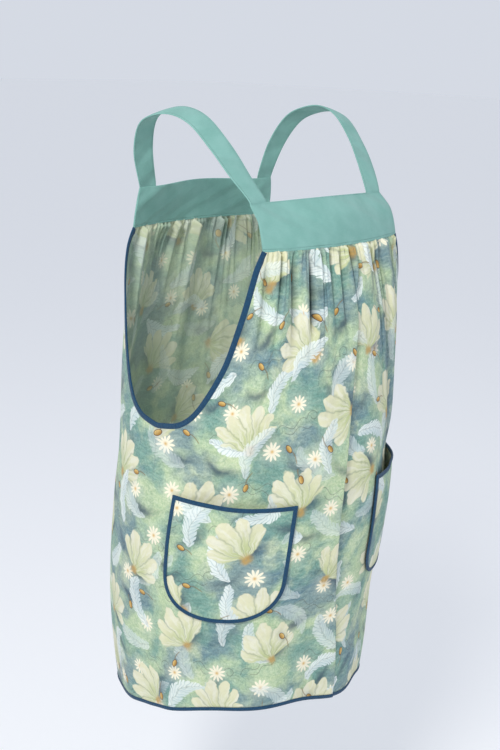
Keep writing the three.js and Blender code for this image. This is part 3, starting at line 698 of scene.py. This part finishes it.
# what is drawn, where, the size of its cells, its seed, and for some a turn
for draw, place, *choices in (
    (cotton.shadow, wandering, (8.3, 7.7), 13),
    (cotton.tendril, on_print, (9.7, 8.3), 11),
    (cotton.daisy, on_print, (7.1, 6.3), 3),
    (cotton.spray, wandering, (10.3, 9.1), 5, 0.9),
    (cotton.blossom, wandering, (13.3, 10.3), 2, 0.6),
    (cotton.spray, wandering, (12.7, 11.3), 8, -0.7),
    (cotton.bud, on_print, (6.1, 5.3), 7),
):
    ink = draw(ink, place, *choices)
wrong = cotton.attribute("wrong_side")
ink = cotton.blend(wrong.rise(0.4, 0.6) * 0.42, ink, WRONG_SIDE)
# painted shade: the deepest folds are darkened in the colour, on the right side only
sunken = cotton.attribute("sunken")
ink = cotton.blend(sunken * (1 - wrong) * 0.85, ink, FOLD_SHADE)
cotton.to_shader("Base Color", ink)
cotton.to_shader("Roughness", cotton.noise(flat_place, 2.0, 2.0) * 0.12 + 0.80)
crease = cotton.bump(cotton.noise(flat_place, 0.35, 3.0, 0.45), 0.006)
cotton.weave(flat_place, PLAIN_WEAVE, crease)
for panel in (front_panel, back_panel):
    panel.data.materials.append(cotton.material)


# The two patch pockets: the same printed cotton, rounded below, sewn on flat over the hips with bound edges.
# Their mouths droop and stand a little open.

POCKET_RISE, POCKET_SAG = 0.062, 0.003  # how high the rounded end is, and how far the mouth droops
POCKET_ROUND = 2.3              # the power of the rounded end, a little squarer than an ellipse
POCKET_LAYER = 0.0035           # how far a pocket stands off the folds under it
POCKET_GAPE = 0.001             # how much further its mouth does
POCKET_PUFF = 0.0006            # height of the soft waves in it
POCKET_END = 0.999              # share of its height where the mesh stops, just short of a point
POCKET_PRINT = {-1: 0.372, 1: 1.91}     # where on the print a pocket is cut, across, by hand
POCKET_PRINT_HEIGHT = 0.31


def pocket_surface(hand, x, y, lift=0.0):
    """A pocket point x across and y down on the flat: the drape there, lifted by the sewn layers."""
    centre, drop, rate = POCKETS[hand]
    angle, z = centre + x * rate, -drop - y
    side = np.clip(1 - (2 * x / POCKET_WIDTH) ** 2, 0, 1)
    open_by = POCKET_LAYER + POCKET_GAPE * side * np.clip(1 - y / POCKET_HEIGHT, 0, 1) ** 1.5
    return drape(FRONT, angle, z) + outward(body, FRONT, angle, z) * (open_by + lift)[..., None]


def pocket_half(y):
    """Half the pocket's width at y down: full to the shoulder, then the rounded end of a superellipse."""
    low = np.clip((y - POCKET_HEIGHT + POCKET_RISE) / POCKET_RISE, 0, 1)
    return POCKET_WIDTH / 2 * (1 - low ** POCKET_ROUND) ** (1 / POCKET_ROUND)


def pocket_sag(hand, aside):
    """How far the mouth droops: one minus a square, more towards the middle of the front."""
    return POCKET_SAG * (1 - aside ** 2) * (1 - 0.6 * hand * aside)


def add_pocket(name, hand, node, columns=90, rows=80):
    """A grid squeezed to the pocket's width at each level, with rows closer together at the rounded end."""
    aside = np.linspace(-1, 1, columns)[:, None]
    down = np.sin(np.linspace(0, 1, rows) * QUARTER)[None, :] * POCKET_END
    y = mix(pocket_sag(hand, aside), POCKET_HEIGHT, down)
    x = aside * pocket_half(POCKET_HEIGHT * down)
    puff = POCKET_PUFF * np.sin(70 * x + 40 * y) * np.sin(np.pi * down)
    uv = np.stack([x + POCKET_PRINT[hand], -y + POCKET_PRINT_HEIGHT], -1)
    pocket = add_surface(name, pocket_surface(hand, x, y, puff), uv, past_tuck=0 * x - 1)
    pocket.data.materials.append(cotton.material)
    thicken(pocket)
    show(pocket, node)
    return pocket


right_pocket = add_pocket("cloth_pocket_right", -1, "pocket_right")
left_pocket = add_pocket("cloth_pocket_left", 1, "pocket_left")


# The two yokes: plain sea-green cotton, two layers turned out and pressed, stitched down along the gathers.
# Each is a flat band that the straps pull straight at its upper corners.

YOKE_TOP = 0.101                # shoulder to the yokes' upper edges
YOKE_TAPER, YOKE_CROWN = 0.005, 0.003   # how much narrower the top is, and how far its middle rises
YOKE_LAP = 0.0012               # how far a yoke reaches over the gathers
YOKE_LIFT = 0.0007              # how far the gathers under it lift a yoke's lower edge
LIFT_FROM, LIFT_OVER = 0.876, 0.12      # share of its height where that starts, and how soon it is full
BULGE_REACH = 0.8               # share of its half width over which a yoke bulges
YOKE_CUT, YOKE_CLOTH = 0.056, 0.058     # a yoke's height when cut, and on the plain cloth's pattern
YOKE_STITCH, STRAP_STITCH = 5.5, 1.45   # centimetres down a yoke and out from a strap's middle
STRAP_PLACE = 0.5               # where the straps lie on the pattern, far aside from the yokes
BAND = 0.0018                   # thickness of the two layers
RIM = 7                         # points round each long edge of a band


def yoke_surface(face, across, down):
    """The body between the yoke's edges, mixed towards its top edge with a flatter line that bulges only in
    the middle, as a cosine squared. Its lower edge wavers over the gathers, as a product of two sines."""
    z = mix(-YOKE_TOP, -SEAM - YOKE_LAP, down)
    edge = edge_angle(YOKE_HALF - YOKE_TAPER * np.maximum(1 - down, 0) ** 2.5, z)
    point = body(face, across * edge, z)
    corner, centre = body(face, edge, z)[..., 1], body(face, 0 * edge, z)[..., 1]
    bulge = np.cos(QUARTER * np.minimum(np.abs(across) / BULGE_REACH, 1)) ** 2
    point[..., 1] = mix(mix(corner, centre, bulge), point[..., 1], ease(down))
    point[..., 2] += YOKE_CROWN * bulge * (1 - down)
    lifted = np.sin(41 * across + 1.5 * np.sin(9 * across)) * np.sin(17 * across + 1)
    lifted = lifted * ease((down - LIFT_FROM) / LIFT_OVER) * (1 - across ** 8)
    point[..., 1] += face["side"] * YOKE_LIFT * lifted
    return point


def add_band(name, points, uv, node, half=BAND / 2):
    """A band with soft edges, carried along a line: each section goes out over one side of the cloth, round
    a half circle, back over the other side and round again. half is half its thickness, all along or at each
    section."""
    along, across = np.gradient(points, axis=0), np.gradient(points, axis=1)
    normal = np.cross(across, along)
    normal /= np.linalg.norm(normal, axis=2, keepdims=True)
    across /= np.linalg.norm(across, axis=2, keepdims=True)
    turn = (np.pi * np.arange(1, RIM + 1) / (RIM + 1))[None, :, None]
    rim = half * (np.sin(turn) - 1) * across[:, -1:] + half * np.cos(turn) * normal[:, -1:] + points[:, -1:]
    first = half * (1 - np.sin(turn)) * across[:, :1] - half * np.cos(turn) * normal[:, :1] + points[:, :1]
    inset = np.zeros_like(points)
    inset[:, :1], inset[:, -1:] = half * across[:, :1], -half * across[:, -1:]
    face, reverse = points + inset + half * normal, (points + inset - half * normal)[:, ::-1]
    ring = np.concatenate([face, rim, reverse, first, face[:, :1]], 1)
    on_rim, on_first = np.repeat(uv[:, -1:], RIM, 1), np.repeat(uv[:, :1], RIM + 1, 1)
    flat = np.concatenate([uv, on_rim, uv[:, ::-1], on_first], 1)
    band = add_surface(name, ring[:, :-1], flat, ring=True)
    band.data.materials.append(plain_paint.material)
    show(band, node)
    return band


def add_yoke(name, face, node, columns=120, rows=34):
    """A band on the yoke's surface, from the wearer's right to their left in front, with uv in metres."""
    across = np.linspace(-1, 1, columns)[:, None] * -face["side"]
    down = np.linspace(0, 1, rows)[None, :]
    across, down = across + 0 * down, down + 0 * across
    points = yoke_surface(face, across, down)
    uv = np.stack([across * -face["side"] * YOKE_HALF, -down * YOKE_CLOTH], -1)
    return add_band(name, points, uv, node)


GREEN, LIGHT_GREEN = (0.185, 0.395, 0.345), (0.225, 0.445, 0.395)
SLUB_GREEN, THREAD_GREEN = (0.29, 0.51, 0.46), (0.11, 0.27, 0.24)

plain_paint = Paint(
    "plain_cotton", Roughness=0.84, Sheen_Weight=0.1, Sheen_Roughness=0.5, Specular_IOR_Level=0.25)
plain_place = plain_paint.cloth_place()
slub = plain_paint.noise(plain_paint.stretched(plain_place, (0.5, 6, 1)), 3.0, 3.0, 0.6)
dye = plain_paint.noise(plain_place, 0.35, 3.0)
sea_green = plain_paint.blend(dye.rise(0.3, 0.7), GREEN, LIGHT_GREEN)
sea_green = plain_paint.blend(slub.rise(0.45, 0.7) * 0.25, sea_green, SLUB_GREEN)
px, py, _ = plain_paint.split(plain_place)
beside_strap_line = abs(abs(px - STRAP_PLACE * CENTIMETRES) - STRAP_STITCH)
beside_line = abs(py + YOKE_STITCH).math("MINIMUM", beside_strap_line)
thread = beside_line.bell(0.03) * ((px + py) * 24).math("SINE").rise(-0.5, 0.1)
plain_paint.to_shader("Base Color", plain_paint.blend(thread * 0.5, sea_green, THREAD_GREEN))
pull = plain_paint.vector(px * 0.30 + py * 0.55, py * 0.12 - px * 0.05, 0.0)
drag = plain_paint.bump(plain_paint.noise(pull, 0.6, 1.0, 0.3), 0.010)
sewn = plain_paint.bump(1 - beside_line.bell(0.07), 0.0005, drag)
plain_paint.weave(plain_place, PLAIN_WEAVE, sewn)
front_yoke = add_yoke("band_front_yoke", FRONT, "front_yoke")
back_yoke = add_yoke("band_back_yoke", BACK, "back_yoke")


# The two straps: the same plain cotton, folded to a band and stitched, set into the yokes' upper corners.
# They lean outwards over the slope of the shoulders.

STRAP, STRAP_FOOT = 0.033, 0.028        # a strap's width over the shoulder and at its feet
SHOULDER = 0.143                # from the middle to a strap over the shoulder
SLOPE = np.radians(14)          # how far the straps lean outwards there
STRAP_TUCK = 0.004              # how far a strap's foot goes into the yoke
STRAP_CUP = 0.0008              # how far a strap's middle stands over its edges
LEAN_OVER, WIDEN_OVER = 0.3, 0.2        # share of its length over which a strap leans out, and widens
FOOT_THICKNESS = 0.3            # share of the band's thickness where the foot is tucked in

# share of the way out from the yoke, share of the way to the front or back end, and share of the drop
STRAP_LINE = (
    (0.34, -0.78, 0.71), (0.61, -0.50, 0.38), (0.82, -0.16, 0.09), (0.94, 0.13, 0.00),
    (1.00, 0.43, 0.03), (0.88, 0.71, 0.16), (0.52, 0.92, 0.51),
)


def smooth_path(knots, count):
    """A curve through the knots: Catmull-Rom pieces over the square roots of the chords, then evened out."""
    knots = np.array(knots)
    ends = np.vstack([2 * knots[0] - knots[1], knots, 2 * knots[-1] - knots[-2]])
    pieces = []
    for i in range(1, len(ends) - 2):
        p = ends[i - 1:i + 3]
        t = np.concatenate([[0], np.cumsum(np.linalg.norm(np.diff(p, axis=0), axis=1) ** 0.5)])
        u = np.linspace(t[1], t[2], 40)[:, None]
        a = [((t[k + 1] - u) * p[k] + (u - t[k]) * p[k + 1]) / (t[k + 1] - t[k]) for k in range(3)]
        b = [((t[k + 2] - u) * a[k] + (u - t[k]) * a[k + 1]) / (t[k + 2] - t[k]) for k in range(2)]
        pieces.append((((t[2] - u) * b[0] + (u - t[1]) * b[1]) / (t[2] - t[1]))[:-1])
    path = np.vstack([*pieces, knots[-1:]])
    run = np.concatenate([[0], np.cumsum(np.linalg.norm(np.diff(path, axis=0), axis=1))])
    even = np.linspace(0, run[-1], count)
    return np.stack([np.interp(even, run, path[:, k]) for k in range(3)], -1), run[-1]


def add_strap(name, hand, node, steps=160, columns=14):
    """A ribbon carried along the strap's line, turning from level at the yokes to the shoulder's slope. Its
    last few millimetres thin out between the layers of the yokes."""
    front, rear = [yoke_surface(face, np.array(float(hand)), np.array(0.0)) for face in (FRONT, BACK)]
    for foot in (front, rear):
        foot[0] -= hand * STRAP_FOOT / 2
    knots = [front]
    for out, reach, drop in STRAP_LINE:
        y = -reach * front[1] if reach < 0 else reach * rear[1]
        knots.append((hand * mix(abs(front[0]), SHOULDER, out), y, BAND / 2 - drop * YOKE_TOP))
    tucked_in = np.array([0, 0, STRAP_TUCK])
    line, length = smooth_path([front - tucked_in, *knots, rear, rear - tucked_in], steps)
    along = np.gradient(line, axis=0)
    along /= np.linalg.norm(along, axis=1, keepdims=True)
    share = np.linspace(0, 1, steps)
    from_end = np.minimum(share, 1 - share)
    lean = np.array([hand * np.cos(SLOPE), 0, -np.sin(SLOPE)])
    width = mix(np.array([hand, 0.0, 0.0]), lean, ease(from_end / LEAN_OVER)[:, None])
    width[1:-1] -= ((width * along).sum(1, keepdims=True) * along)[1:-1]
    width /= np.linalg.norm(width, axis=1, keepdims=True)
    normal = -hand * np.cross(along, width)
    breadth = mix(STRAP_FOOT, STRAP, ease(from_end / WIDEN_OVER))
    aside = np.linspace(-1, 1, columns)
    cup = STRAP_CUP * (1 - aside ** 2)
    points = (line[:, None] + hand * width[:, None] * (aside[None, :] * breadth[:, None] / 2)[..., None]
              + normal[:, None] * cup[None, :, None])
    on_cloth = aside[None, :] * STRAP / 2 + STRAP_PLACE
    uv = np.stack(np.broadcast_arrays(on_cloth, share[:, None] * length), -1)
    thinned = mix(FOOT_THICKNESS, 1, ease((from_end * length - 0.8 * STRAP_TUCK) / 0.002))
    half = thinned * BAND / 2
    return add_band(name, points[::-1], uv[::-1], node, half[::-1, None, None]), length


left_strap, strap_length = add_strap("band_strap_left", 1, "strap_left")
right_strap, _ = add_strap("band_strap_right", -1, "strap_right")


# The binding: deep blue cotton tape cut on the bias, folded over each raw edge and topstitched along its
# foot. It runs round both armholes, the hem, and the whole edge of each pocket.

TAPE = 0.0048                   # how far in from the edge the tape reaches
ARMHOLE_TAPE = 0.0061           # the same at the armholes, where it is eased flatter
TAPE_STITCH = 0.11              # centimetres from the tape's foot to its stitches

# round the folded tape: distance in from the cloth's edge as a share of its reach, and height over the cloth
TAPE_PROFILE = np.array([
    (1.00, -0.0006), (0.95, -0.0011), (0.80, -0.00125), (0.50, -0.0013), (0.20, -0.0013), (0.02, -0.0012),
    (-0.12, -0.0009), (-0.18, 0.0), (-0.12, 0.0009), (0.02, 0.0012), (0.20, 0.0013), (0.50, 0.0013),
    (0.80, 0.00125), (0.95, 0.0011), (1.00, 0.0006), (0.60, 0.0005), (0.60, -0.0005),
])
FOLD = 7                        # the profile's row at the fold
EDGE_SHARE = 0.05               # rows of the profile up to here are placed straight out from the edge

NAVY, BLUE, THREAD_BLUE = (0.005, 0.044, 0.098), (0.009, 0.062, 0.132), (0.015, 0.10, 0.22)

tape_paint = Paint(
    "binding_tape", Roughness=0.78, Sheen_Weight=0.12, Sheen_Roughness=0.5, Specular_IOR_Level=0.3)
tape_place = tape_paint.cloth_place()
tx, ty, _ = tape_paint.split(tape_place)
bias = tape_paint.vector(tx + ty, tx - ty, 0.0)
stitch_line = (ty - TAPE_STITCH).bell(0.025)
thread = stitch_line * (tx * 24).math("SINE").rise(-0.5, 0.1)
cloud = tape_paint.noise(bias, 2.2, 3.0).rise(0.3, 0.7)
blue = tape_paint.blend(cloud, NAVY, BLUE)
tape_paint.to_shader("Base Color", tape_paint.blend(thread * 0.6, blue, THREAD_BLUE))
pucker = tape_paint.bump(tape_paint.noise(tape_paint.stretched(tape_place, (3, 1, 1)), 1.4, 2.0), 0.0010)
pressed = tape_paint.bump(1 - (ty - TAPE_STITCH).bell(0.07), 0.0004, pucker)
tape_paint.weave(bias, BIAS_WEAVE, pressed)


def add_tape(name, edge, normal, out, foot_of, closed, node, depth=TAPE):
    """Tape carried along an edge: each ring of its profile lies over the cloth between the edge and the
    foot. foot_of gives the cloth and its normal at a distance in from every station. depth is how far in the
    tape reaches."""
    rings = []
    for inward, height in TAPE_PROFILE:
        if inward <= EDGE_SHARE:
            rings.append(edge - out * inward * depth + normal * height)
        else:
            place, lift = foot_of(inward * depth)
            rings.append(place + lift * height)
    points = np.stack(rings, 1)
    ends = edge[:1] if closed else edge[:0]
    steps = np.linalg.norm(np.diff(np.concatenate([edge, ends]), axis=0), axis=1)
    around = np.diff(np.vstack([TAPE_PROFILE, TAPE_PROFILE[:1]]) * (depth, 1), axis=0)
    run = np.concatenate([[0], np.cumsum(steps)])[:, None]
    girth = np.concatenate([[0], np.cumsum(np.hypot(*around.T))])
    from_foot = np.minimum(girth, 2 * girth[FOLD] - girth)[None, :]
    uv = np.stack(np.broadcast_arrays(run, from_foot), -1)
    tape = add_surface(name, points, uv, ring=True, loop=closed)
    tape.data.materials.append(tape_paint.material)
    show(tape, node)
    return tape


def steps_in(face, angle, z, out, distance, surface):
    """Walks in from an edge over the cloth: the direction is split into a turn and a climb."""
    across, rise, span = differences(surface, face, angle, z, turn=0.002)
    across, rise = across / span[:, None], rise / (2 * CLIMB)
    gram = np.stack([np.stack([(across * across).sum(1), (across * rise).sum(1)], -1),
                     np.stack([(across * rise).sum(1), (rise * rise).sum(1)], -1)], -2)
    aim = np.stack([-(out * across).sum(1), -(out * rise).sum(1)], -1)[..., None]
    move = np.linalg.solve(gram, aim)[..., 0] * distance
    angle2 = np.clip(angle + move[:, 0], -QUARTER, QUARTER)
    z2 = z + move[:, 1]
    return surface(face, angle2, z2), outward(surface, face, angle2, z2)


def add_edge_tape(name, runs, closed, node, depth=TAPE):
    """Tape on the cloth's own edge. Each run is a face with the angles and heights of its stations."""
    edge = np.vstack([cloth(face, angle, z) for face, angle, z in runs])
    normal = np.vstack([outward(cloth, face, angle, z) for face, angle, z in runs])
    if closed:
        along = np.roll(edge, -1, 0) - np.roll(edge, 1, 0)
    else:
        along = np.gradient(edge, axis=0)
    out = np.cross(normal, along)
    out /= np.linalg.norm(out, axis=1, keepdims=True)

    def foot_of(distance):
        feet, lifts, start = [], [], 0
        for face, angle, z in runs:
            here = slice(start, start + len(angle))
            foot, lift = steps_in(face, angle, z, out[here], distance, cloth)
            feet.append(foot)
            lifts.append(lift)
            start += len(angle)
        return np.vstack(feet), np.vstack(lifts)

    return add_tape(name, edge, normal, out, foot_of, closed, node, depth)


def armhole_run(face, hand, count=150):
    """The angles and heights down one edge of an armhole, from the yoke almost to the side seam."""
    across = hand * mix(GATHERED, LAST_COLUMN, np.linspace(0, 1, count))
    return column_top(face, across)


def armhole_runs(hand):
    """Down the armhole's front edge and up its back edge, or the other way round on the wearer's right."""
    order = (FRONT, BACK) if hand > 0 else (BACK, FRONT)
    angle, z = armhole_run(order[0], hand)
    angle2, z2 = armhole_run(order[1], hand)
    return [(order[0], angle, z), (order[1], angle2[::-1], z2[::-1])]


def hem_runs(count=420):
    """Round the hem so that the cloth is on the same side as at an armhole."""
    share = mix(1, -1, (np.arange(count) + 0.5) / count)
    front_angle, back_angle = QUARTER * share, QUARTER * share[::-1]
    return [(FRONT, front_angle, hem_height(FRONT, front_angle)),
            (BACK, back_angle, hem_height(BACK, back_angle))]


left_armhole_tape = add_edge_tape(
    "tape_armhole_left", armhole_runs(1), False, "armhole_binding_left", ARMHOLE_TAPE)
right_armhole_tape = add_edge_tape(
    "tape_armhole_right", armhole_runs(-1), False, "armhole_binding_right", ARMHOLE_TAPE)
hem_tape = add_edge_tape("tape_hem", hem_runs(), True, "hem_binding")


def pocket_edge(hand, count=110):
    """The pocket's outline clockwise from its upper left corner: the drooping mouth, a side, the rounded
    end and the other side."""
    half = POCKET_WIDTH / 2
    aside = np.linspace(-1, 1, count, endpoint=False)
    shoulder = POCKET_HEIGHT - POCKET_RISE
    down = np.linspace(0, 1, count // 2, endpoint=False)
    round_turn = np.linspace(0, np.pi, count)
    aside_turn = np.sign(np.cos(round_turn)) * np.abs(np.cos(round_turn)) ** (2 / POCKET_ROUND)
    down_turn = np.sin(round_turn) ** (2 / POCKET_ROUND)
    x = [half * aside, half + 0 * down, half * aside_turn, -half + 0 * down[1:]]
    y = [pocket_sag(hand, aside), shoulder * down, shoulder + POCKET_RISE * down_turn,
         shoulder * (1 - down[1:])]
    return np.concatenate(x), np.concatenate(y)


def add_pocket_tape(name, hand, node):
    """Tape round a pocket: the way in is the outline's direction on the flat, turned a quarter."""
    x, y = pocket_edge(hand)
    dx, dy = np.roll(x, -1) - np.roll(x, 1), np.roll(y, -1) - np.roll(y, 1)
    size = np.hypot(dx, dy)
    inx, iny = -dy / size, dx / size

    def lifted(u, v):
        step = 0.0006
        across = pocket_surface(hand, u + step, v) - pocket_surface(hand, u - step, v)
        down = pocket_surface(hand, u, v + step) - pocket_surface(hand, u, v - step)
        normal = np.cross(down, across)
        return pocket_surface(hand, u, v), normal / np.linalg.norm(normal, axis=1, keepdims=True)

    edge, normal = lifted(x, y)
    inner = lifted(x + inx * 0.002, y + iny * 0.002)[0]
    out = edge - inner
    out /= np.linalg.norm(out, axis=1, keepdims=True)
    return add_tape(name, edge, normal, out, lambda d: lifted(x + inx * d, y + iny * d), True, node)


right_pocket_tape = add_pocket_tape("tape_pocket_right", -1, "pocket_binding_right")
left_pocket_tape = add_pocket_tape("tape_pocket_left", 1, "pocket_binding_left")
